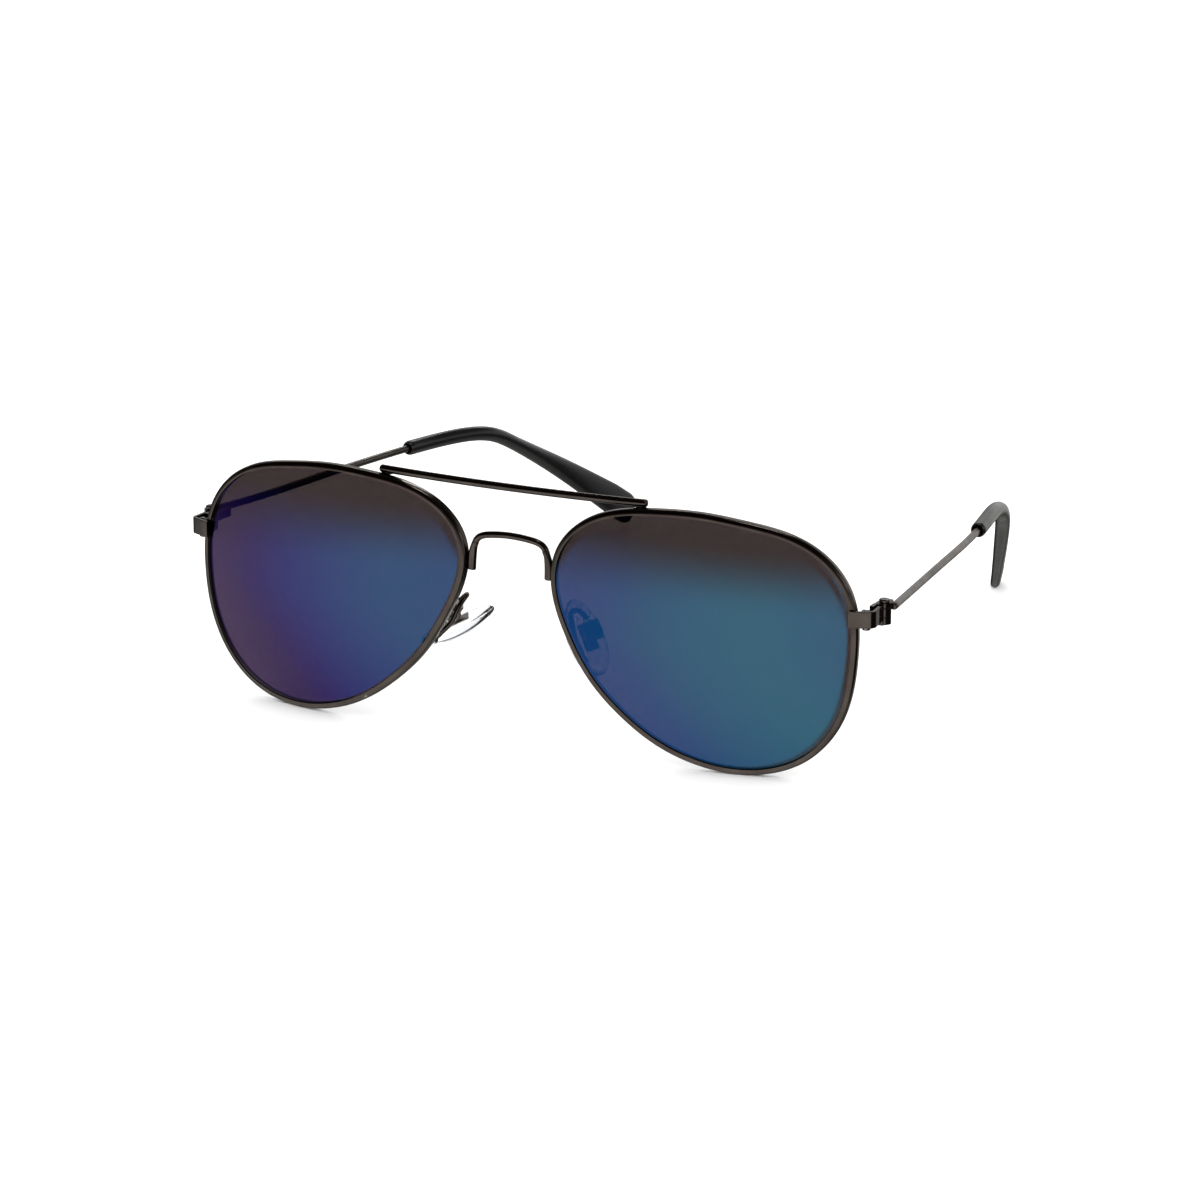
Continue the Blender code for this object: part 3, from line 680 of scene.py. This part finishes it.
def lens(word, side):
    body, tongue_at = RIM_WIDTH + 0.13, 0.72
    t = LENS_THICK / 2
    count = 160
    angles = 2 * math.pi * np.arange(count) / count
    edge = np.array([outline_uv(a, body) for a in angles])
    inner = np.array([outline_uv(a, body + 0.12) for a in angles])
    tongue = np.array([outline_uv(a, tongue_at) for a in angles])
    shares = np.linspace(0.06, 1.0, 22)
    rows = [lens_point(side, inner[:, 0] * s, inner[:, 1] * s, t) for s in shares]
    rows.append(lens_point(side, edge[:, 0], edge[:, 1], t - 0.1))
    rows.append(lens_point(side, edge[:, 0], edge[:, 1], 0.28))
    rows.append(lens_point(side, tongue[:, 0], tongue[:, 1], 0.22))
    rows.append(lens_point(side, tongue[:, 0], tongue[:, 1], -0.22))
    rows.append(lens_point(side, edge[:, 0], edge[:, 1], -0.28))
    rows.append(lens_point(side, edge[:, 0], edge[:, 1], -t + 0.1))
    front_faces = len(shares) * count
    rows += [lens_point(side, inner[:, 0] * s, inner[:, 1] * s, -t) for s in shares[::-1]]
    verts, faces = rings(rows, cap_start=False, cap_end=False)
    front, back = len(verts), len(verts) + 1
    verts = np.concatenate([verts, [lens_point(side, 0, 0, t), lens_point(side, 0, 0, -t)]])
    last = (len(rows) - 1) * count
    for j in range(count):
        k = (j + 1) % count
        faces.append((front, k, j))
        faces.append((back, last + j, last + k))
    obj = piece(f"mirror_lens_{word}", [(verts, faces)], [MIRROR, TINT], "front",
                [f"lens_{word}"], sharp=60)
    normal = Vector((side * math.sin(WRAP), -math.cos(WRAP), 0))
    centre = (LENS_X * side * MM, -Y_SHIFT * MM)
    for polygon in obj.data.polygons:
        c = polygon.center
        u = (side * c.x - LENS_X * MM) * math.cos(WRAP) + (c.y + Y_SHIFT * MM) * math.sin(WRAP)
        v = c.z - LENS_Z * MM
        n = (side * c.x - LENS_X * MM) * math.sin(WRAP) - (c.y + Y_SHIFT * MM) * math.cos(WRAP)
        n += (u * u + v * v) / (2 * BASE_RADIUS * MM)
        front_side = n > 0.62 * MM and polygon.normal.dot(normal) > 0.3
        polygon.material_index = 0 if front_side else 1


def plan_point(side, u, n, z):
    raw = n - (u * u + 7.2**2) / (2 * BASE_RADIUS)
    return np.array([side * (LENS_X + u * math.cos(WRAP) + raw * math.sin(WRAP)),
                     u * math.sin(WRAP) - raw * math.cos(WRAP), z])


def end_piece(word, side):
    outer = [(28.4, 1.8), (32.3, 1.8)]
    outer += [(32.3 + 0.8 * math.sin(a), 1.0 + 0.8 * math.cos(a))
              for a in np.linspace(0.15, math.pi / 2, 8)]
    outer += [(33.1, -2.4), (32.4, -2.4), (32.4, 0.8)]
    outer += [(32.1 + 0.3 * math.sin(a), 0.82 + 0.3 * math.cos(a))
              for a in np.linspace(math.pi / 2 - 0.1, 0, 5)]
    outer += [(28.4, 1.12)]
    piece(f"end_plate_{word}",
          [prism(outer, 30.4, 33.6, lambda u, n, z: plan_point(side, u, n, z))], GUNMETAL,
          "front", [f"end_piece_{word}"], smooth=True, bevel=0.12)


def lock(word, side):
    centre = plan_point(side, 31.15, -0.05, 0.0)
    ex = np.array([side * math.cos(WRAP), math.sin(WRAP), 0])
    ey = np.array([side * math.sin(WRAP), -math.cos(WRAP), 0])
    poly = [(-0.95, -0.75), (0.9, -0.75), (0.9, 0.7), (-0.95, 0.7)]
    for place, z0, z1 in (("upper", 32.1, 33.3), ("lower", 30.55, 31.75)):
        piece(f"rim_clamp_{place}_{word}",
              [eye_plate(centre, ex, ey, (0, 0, 1), poly, 0.0, 0.5, z0, z1, 40)], GUNMETAL,
              "front", [f"rim_lock_{place}_{word}"], bevel=0.09)
    x, y, _ = centre
    profile = [(0.0, 29.62), (0.5, 29.62), (0.72, 29.7), (0.78, 29.8), (0.78, 30.14),
               (0.74, 30.2), (0.38, 30.24), (0.35, 30.28), (0.35, 33.3), (0.3, 33.42), (0.0, 33.42)]
    shape = lathe((x, y, 0), (0, 0, 1), profile, 36)
    slot = block((x, y, 29.6), ex, ey, (0, 0, 1), 1.2, 0.11, 0.24)
    piece(f"rim_clamp_screw_{word}", [cut_slots(shape, [slot])], STEEL, "front",
          [f"rim_lock_screw_{word}"], sharp=30)


def hinge(word, side):
    hx, hy = HINGE

    def place(x, y, z):
        return np.array([side * x, y, z])

    web = [(69.45, 10.7), (70.25, 10.7), (70.25, 12.42), (71.35, 12.42), (71.35, 12.7),
           (69.45, 12.7)]
    tongue = [(-1.3, 0.0), (-1.3, -1.65), (0.4, -1.65), (0.4, 0.0), (0.4, 0.3), (-1.3, 0.3)]
    parts = [prism(web, 29.72, 33.78, place)]
    for z0, z1 in ((29.7, 31.0), (32.9, 33.8)):
        parts.append(eye_plate((side * hx, hy, 0), (side, 0, 0), (0, 1, 0), (0, 0, 1), tongue,
                               KNUCKLE_RADIUS, PIN_HOLE, z0, z1, 40))
    piece(f"hinge_knuckles_{word}", parts, GUNMETAL, "front", [f"hinge_front_leaf_{word}"],
          union=True, bevel=0.1)

    lean = math.radians(7) * side
    ex = np.array([math.cos(lean) * side, math.sin(lean) * side, 0])
    ey = np.array([-math.sin(lean), math.cos(lean), 0])
    tongue = [(-0.95, -0.2), (0.25, -0.2), (0.25, 5.2), (-0.05, 5.5), (-0.65, 5.5), (-0.95, 5.2)]
    piece(f"hinge_tongue_{word}",
          [eye_plate((side * hx, hy, 0), ex, ey, (0, 0, 1), tongue, KNUCKLE_RADIUS, PIN_HOLE,
                     31.15, 32.75, 40)], GUNMETAL, f"temple_{word}",
          [f"hinge_temple_leaf_{word}"], bevel=0.12)

    r = PIN_RADIUS
    profile = [(0.0, 29.37), (0.36, 29.37), (r - 0.05, 29.45), (r, 29.55), (r, 33.84),
               (0.94, 33.88), (1.0, 33.94), (1.0, 34.2), (0.94, 34.32), (0.72, 34.42),
               (0.3, 34.45), (0.0, 34.45)]
    shape = lathe((side * hx, hy, 0), (0, 0, 1), profile, 40)
    turn_to = math.radians(35)
    c, s = math.cos(turn_to), math.sin(turn_to)
    slot = block((side * hx, hy, 34.45), (c, s, 0), (-s, c, 0), (0, 0, 1), 1.4, 0.13, 0.27)
    piece(f"hinge_pin_screw_{word}", [cut_slots(shape, [slot])], STEEL, "front",
          [f"hinge_screw_{word}"], sharp=30)


def ball_ends(path, radius, count, reference, steps, flat=0.5):
    """A round wire whose ends are softly rounded over."""
    path = np.asarray(path, float)
    t, e1, e2 = frames(path, reference)
    loop = circle(1.0, count)

    def ring(i, r, shift=0.0):
        c = path[i] + t[i] * shift
        return c + r * (loop[:, :1] * e1[i] + loop[:, 1:] * e2[i])

    rows = []
    for k in range(steps):
        a = math.pi / 2 * k / steps
        rows.append(ring(0, radius * (0.45 + 0.55 * math.sin(a)), -radius * flat * math.cos(a)))
    rows += [ring(i, radius) for i in range(len(path))]
    for k in reversed(range(steps)):
        a = math.pi / 2 * k / steps
        rows.append(ring(-1, radius * (0.45 + 0.55 * math.sin(a)), radius * flat * math.cos(a)))
    return rings(rows)


def blob(centre, axes, sizes, count=18, rings_count=9):
    """A smooth lump of solder: an ellipsoid along three axes."""
    centre = np.array(centre, float)
    rows = []
    for k in range(1, rings_count):
        a = math.pi * k / rings_count
        loop = circle(1.0, count)
        rows.append(centre - axes[0] * sizes[0] * math.cos(a)
                    + math.sin(a) * (loop[:, :1] * axes[1] * sizes[1] + loop[:, 1:] * axes[2] * sizes[2]))
    return rings(rows)


def unit(v):
    v = np.array(v, float)
    return v / np.linalg.norm(v)


def top_bars():
    x = np.linspace(-27.4, 27.4, 61)
    path = np.stack([x, 3.9 - 1.45 * (1 - (x / 27.4) ** 2), np.full_like(x, 49.68)], -1)
    shapes = [ball_ends(path, BAR_RADIUS, 28, (0, 0, 1), 5, 0.56)]
    for side in (1, -1):
        for at in (26.3,):
            y = 3.9 - 1.45 * (1 - (at / 27.4) ** 2)
            shapes.append(blob((side * at, y + 0.05, 49.05), np.eye(3), (1.35, 0.62, 0.42)))
    piece("brow_bar_wire", shapes, GUNMETAL, "front", ["brow_bar"], sharp=50)
    half = [(3.9, 2.9, 39.95), (6.9, 3.0, 38.85), (7.75, 2.95, 36.0), (7.85, 2.75, 33.0)]
    pts = [flip(-1, p) for p in half[::-1]] + [(0, 2.8, 40.25)] + half
    shapes = [ball_ends(spline(pts, 121), BRIDGE_RADIUS, 24, (0, 1, 0), 5, 0.56)]
    for side in (1, -1):
        foot = spline([flip(side, p) for p in ((7.3, 2.95, 38.1), (7.95, 2.92, 36.4),
                                               (8.2, 2.85, 34.6), (8.2, 2.75, 33.0))], 25)
        shapes.append(ball_ends(foot, BRIDGE_RADIUS * 1.02, 24, (0, 1, 0), 5, 0.5))
    piece("bridge_wire", shapes, GUNMETAL, "front", ["bridge"], sharp=50)


# ---- nose pads ---------------------------------------------------------------------------
def pad_arm(word, side):
    a, long, normal = pad_axes(side, False)
    pivot = flip(side, PAD_PIVOT)
    foot = lens_point(side, *outline_uv(math.radians(197), 0.45), -1.5)
    low = lens_point(side, *outline_uv(math.radians(193), 0.35), -2.0)
    end = pivot + long * 2.8
    pts = [foot, low, flip(side, (12.9, 3.9, 21.6)), flip(side, (11.9, 4.6, 24.2)),
           flip(side, (11.2, 5.8, 25.9)), flip(side, (11.5, 7.3, 26.1)),
           flip(side, (12.55, 8.0, 25.3)), end]
    path = spline(pts, 97)
    shapes = [tube(path, 0.5, 20, a)]
    t = unit(path[1] - path[0])
    e = unit(np.cross(t, (0, 0, 1.0)))
    shapes.append(blob(path[2], (t, e, np.cross(t, e)), (0.55, 0.72, 0.72)))
    t = unit(path[-1] - path[-3])
    e = unit(np.cross(t, a))
    shapes.append(blob(path[-2], (t, e, np.cross(t, e)), (0.4, 0.57, 0.57)))
    piece(f"pad_gooseneck_{word}", shapes, GUNMETAL, "front", [f"pad_arm_{word}"],
          sharp=60)


def pad_hardware(word, side):
    a, long, normal = pad_axes(side, False)
    pivot = flip(side, PAD_PIVOT)

    def place(x, y, z):
        return pivot + normal * x + long * y + a * z

    parts = [prism([(-1.36, 1.62), (1.11, 1.62), (1.11, 2.14), (-1.36, 2.14)], -1.34, 1.34, place)]
    poly = [(-1.3, 0.0), (-1.3, 1.9), (1.05, 1.9), (1.05, 0.0), (0.9, -0.4), (-1.1, -0.4)]
    for z0, z1 in ((-1.4, -0.85), (0.85, 1.4)):
        parts.append(eye_plate(pivot, normal, long, a, poly, 1.55, 0.5, z0, z1, 40))
    piece(f"pad_box_ears_{word}", parts, GUNMETAL, "front", [f"pad_box_{word}"],
          union=True, bevel=0.08)
    profile = [(0.0, -2.04), (0.5, -2.04), (0.78, -1.96), (0.85, -1.86), (0.85, -1.54),
               (0.8, -1.49), (0.38, -1.46), (0.36, -1.42), (0.36, 1.72), (0.28, 1.84), (0.0, 1.84)]
    shape = lathe(pivot, a, profile, 32)
    slot = block(pivot - a * 2.04, unit(normal + long), unit(long - normal), a, 1.2, 0.11, 0.22)
    piece(f"pad_pin_screw_{word}", [cut_slots(shape, [slot])], STEEL, "front",
          [f"pad_screw_{word}"], sharp=30)

    a, long, normal = pad_axes(side, side < 0)
    poly = [(0.0, -0.9), (1.85, -0.9), (1.85, 0.9), (0.0, 0.9), (-0.3, 0.5), (-0.3, -0.5)]
    plate = [(1.72, -3.0), (2.02, -3.0), (2.02, 2.4), (1.72, 2.4)]
    parts = [prism(plate, -1.5, 1.5, place_on(pivot, normal, long, a)),
             eye_plate(pivot, normal, long, a, poly, 1.1, 0.5, -0.6, 0.6, 32)]
    piece(f"pad_insert_{word}", parts, STEEL, f"pad_{word}", [f"pad_core_{word}"],
          union=True, bevel=0.07)

    count = 72
    angles = 2 * math.pi * np.arange(count) / count
    half_l, half_w = PAD_LENGTH * 0.49, PAD_WIDTH * 0.49
    rows = []
    outline_steps = [(0.2, 2.12), (0.55, 2.12), (0.8, 2.12), (0.9, 2.17), (0.96, 2.33), (0.985, 2.6),
                     (0.998, 2.9), (1.0, 3.1), (0.99, 3.32), (0.965, 3.56), (0.92, 3.77),
                     (0.84, 3.97), (0.72, 4.13), (0.56, 4.26), (0.38, 4.35), (0.18, 4.395)]
    for grow, n in outline_steps:
        y = half_l * grow * np.sin(angles)
        w = half_w * grow * np.cos(angles) * (1 - 0.12 * np.sin(angles))
        bend = -0.016 * y**2 * (n - 2.12) / 2.2
        rows.append(pivot + (n + bend)[:, None] * normal + (y - 0.2)[:, None] * long
                    + w[:, None] * a)
    piece(f"nose_cushion_{word}", [rings(rows)], CLEAR, f"pad_{word}", [f"nose_pad_{word}"],
          sharp=70)


def place_on(pivot, normal, long, a):
    return lambda x, y, z: pivot + normal * x + long * y + a * z


# ---- temples -----------------------------------------------------------------------------
def temple(word, side):
    body = f"temple_{word}"
    pts = temple_points(word, side)
    path = spline(pts, 181, 0.0, CORE_END)
    piece(f"temple_rod_{word}", [ball_ends(path, WIRE_RADIUS, 28, (1, 0, 0), 5, 0.56)],
          GUNMETAL_WIRE, body, [f"temple_wire_{word}"], sharp=50)

    start = TIP_START[word]
    count = 48
    loop = circle(1.0, count, math.pi / count)
    fine = spline(pts, 1601)
    t_all, e1_all, e2_all = frames(fine, (1, 0, 0))

    def ring(share, a, b):
        """A ring of the sleeve; squarer towards the flat paddle."""
        i = int(round(share * 1600))
        power = 2.0 + 0.6 * min(max((share - 0.72) / 0.2, 0.0), 1.0)
        shape = loop / (np.abs(loop) ** power).sum(axis=1, keepdims=True) ** (1 / power)
        shape = np.minimum(np.abs(shape), 1.0) * np.sign(shape)
        return fine[i] + a * shape[:, :1] * e1_all[i] + b * shape[:, 1:] * e2_all[i]

    rows = [ring(start + 0.012 - 0.012 * k, BORE_RADIUS - 0.02 + 0.02 * k, BORE_RADIUS - 0.02 + 0.02 * k)
            for k in (0.0, 0.9)]
    front = [(0.0, 0.76), (0.0004, 0.84), (0.0012, 0.9), (0.0025, 0.95), (0.0045, 0.985),
             (0.0075, 1.0)]
    for step, k in front:
        a, b = tip_half_sizes(start + step)
        rows.append(ring(start + step, a * k, b * k))
    for share in np.linspace(start + 0.015, 0.982, 110):
        a, b = tip_half_sizes(share)
        rows.append(ring(share, a, b))
    for share, k, flat in ((0.986, 0.98, 0.985), (0.99, 0.945, 0.96), (0.9935, 0.885, 0.9),
                           (0.9965, 0.79, 0.78), (0.9985, 0.67, 0.6), (0.9998, 0.5, 0.38),
                           (1.0, 0.34, 0.2)):
        a, b = tip_half_sizes(share)
        rows.append(ring(share, a * flat, b * k))
    bore = [ring(s, BORE_RADIUS, BORE_RADIUS)
            for s in np.linspace(start + 0.013, BORE_END, 30)]
    piece(f"ear_tip_{word}", [rings(bore[::-1] + rows)], TIP, body, [f"temple_tip_{word}"],
          sharp=55, floor=word == "left")


top_bars()
for word, side in SIDES:
    rim(word, side)
    lens(word, side)
    end_piece(word, side)
    lock(word, side)
    hinge(word, side)
    pad_arm(word, side)
    pad_hardware(word, side)
    temple(word, side)

# ---- floor, light and camera -------------------------------------------------------------
TABLE = 1.28


def floor():
    """A pale, very slightly mottled sweep that the sunglasses stand on."""
    mat, tree, shader = nodes_of("pale_floor")
    tone = ramp(tree, noise(tree, 6.0, 4.0), [(0.3, (0.86, 0.86, 0.86)), (0.7, (0.88, 0.88, 0.88))])
    tree.links.new(tone, shader.inputs["Base Color"])
    shader.inputs["Roughness"].default_value = 0.9
    shader.inputs["Specular IOR Level"].default_value = 0.1
    data = bpy.data.meshes.new("floor")
    bm = bmesh.new()
    bmesh.ops.create_circle(bm, cap_ends=True, segments=96, radius=1.2)
    bm.to_mesh(data)
    bm.free()
    data.materials.append(mat)
    obj = bpy.data.objects.new("floor", data)
    bpy.context.scene.collection.objects.link(obj)
    obj.location = (0, 0, -0.00005)
    obj.visible_glossy = False


def world():
    """A shadow-free pale dome for the diffuse light. What shines in glossy parts is a pale table
    in front, ending in a soft brown horizon, a dark room and ceiling, and a pale wall far behind."""
    made = bpy.data.worlds.new("studio")
    bpy.context.scene.world = made
    made.use_nodes = True
    tree = made.node_tree
    background = tree.nodes["Background"]
    coord = tree.nodes.new("ShaderNodeTexCoord")
    split = add(tree, "ShaderNodeSeparateXYZ")
    tree.links.new(coord.outputs["Generated"], split.inputs[0])

    def step(source, low, high):
        node = add(tree, "ShaderNodeMapRange")
        node.interpolation_type = "SMOOTHSTEP"
        node.inputs["From Min"].default_value = low
        node.inputs["From Max"].default_value = high
        tree.links.new(source, node.inputs["Value"])
        return node.outputs["Result"]

    def blend(factor, a, b):
        node = add(tree, "ShaderNodeMix", data_type="RGBA")
        tree.links.new(factor, node.inputs["Factor"])
        for value, name in ((a, "A"), (b, "B")):
            if isinstance(value, tuple):
                node.inputs[name].default_value = (*value, 1)
            else:
                tree.links.new(value, node.inputs[name])
        return node.outputs["Result"]

    def sine(degrees):
        return math.sin(math.radians(degrees))

    def along(azimuth):
        """How far a direction points towards an azimuth, from the front towards +X."""
        node = add(tree, "ShaderNodeVectorMath", operation="DOT_PRODUCT")
        tree.links.new(coord.outputs["Generated"], node.inputs[0])
        node.inputs[1].default_value = (sine(azimuth), -sine(90 - azimuth), 0.0)
        return node.outputs["Value"]

    up = split.outputs["Z"]
    sag = add(tree, "ShaderNodeMath", operation="MULTIPLY_ADD")
    tree.links.new(along(-4.0), sag.inputs[0])
    sag.inputs[1].default_value = -0.195
    sag.inputs[2].default_value = 0.195 + 0.006
    height = add(tree, "ShaderNodeMath", operation="ADD")
    tree.links.new(up, height.inputs[0])
    tree.links.new(sag.outputs[0], height.inputs[1])
    table = (TABLE, TABLE, TABLE)
    ahead = blend(step(height.outputs[0], sine(-8.0), sine(8.0)), table, (0.022, 0.009, 0.008))
    straight = step(split.outputs["Y"], 0.88, 0.965)
    low = blend(straight, (0.04, 0.039, 0.038), (0.85, 0.84, 0.8))
    wall = blend(straight, (0.62, 0.61, 0.6), (1.2, 1.2, 1.18))
    behind = blend(step(up, sine(-5.0), sine(4.0)), low, wall)
    behind = blend(step(up, sine(18.0), sine(36.0)), behind, (0.05, 0.047, 0.044))
    behind = blend(step(up, sine(-40.0), sine(-25.0)), (0.42, 0.42, 0.39), behind)
    room = blend(step(along(-20.0), 0.3, 0.55), behind, ahead)
    room = blend(step(up, sine(34.0), sine(60.0)), room, (0.05, 0.046, 0.042))
    ray = tree.nodes.new("ShaderNodeLightPath")
    lit = blend(ray.outputs["Is Diffuse Ray"], room, (1.65, 1.65, 1.65))
    lit = blend(ray.outputs["Is Transmission Ray"], lit, (1.1, 1.1, 1.1))
    seen = blend(ray.outputs["Is Camera Ray"], lit, (1.1, 1.1, 1.1))
    tree.links.new(seen, background.inputs["Color"])


def softbox(name, at, aim, size_x, size_y, watts, colour=(1, 1, 1)):
    data = bpy.data.lights.new(name, "AREA")
    data.shape = "RECTANGLE"
    data.size, data.size_y = size_x, size_y
    data.energy = watts
    data.color = colour
    obj = bpy.data.objects.new(name, data)
    obj.location = at
    obj.rotation_euler = (Vector(aim) - Vector(at)).to_track_quat("-Z", "Y").to_euler()
    bpy.context.scene.collection.objects.link(obj)
    return obj


floor()
world()
softbox("overhead_softbox", (0.1, -0.15, 1.3), (0.0, 0.0, 0.03), 0.32, 0.16, 2.6)
softbox("back_strip", (-0.35, 1.0, 0.75), (0.0, 0.0, 0.03), 0.6, 0.08, 1.5)
softbox("side_strip", (1.1, -0.35, 0.5), (0.0, 0.0, 0.03), 0.06, 0.3, 0.6)

AZIMUTH, ELEVATION, DISTANCE = math.radians(26.15), math.radians(16.85), 1.0
TARGET = Vector((0.02, -Y_SHIFT * MM, 0.0312))
FOCAL_PIXELS, IMAGE_PIXELS = 5421.0, 1200.0
back = Vector((math.sin(AZIMUTH) * math.cos(ELEVATION), -math.cos(AZIMUTH) * math.cos(ELEVATION),
               math.sin(ELEVATION)))
camera_data = bpy.data.cameras.new("camera")
camera_data.sensor_width = 36.0
camera_data.lens = FOCAL_PIXELS / IMAGE_PIXELS * 36.0
camera_data.clip_start, camera_data.clip_end = 0.05, 50.0
camera = bpy.data.objects.new("camera", camera_data)
camera.location = TARGET + back * DISTANCE
camera.rotation_euler = (-back).to_track_quat("-Z", "Y").to_euler()
bpy.context.scene.collection.objects.link(camera)
bpy.context.scene.camera = camera
bpy.context.scene.view_settings.view_transform = "Standard"
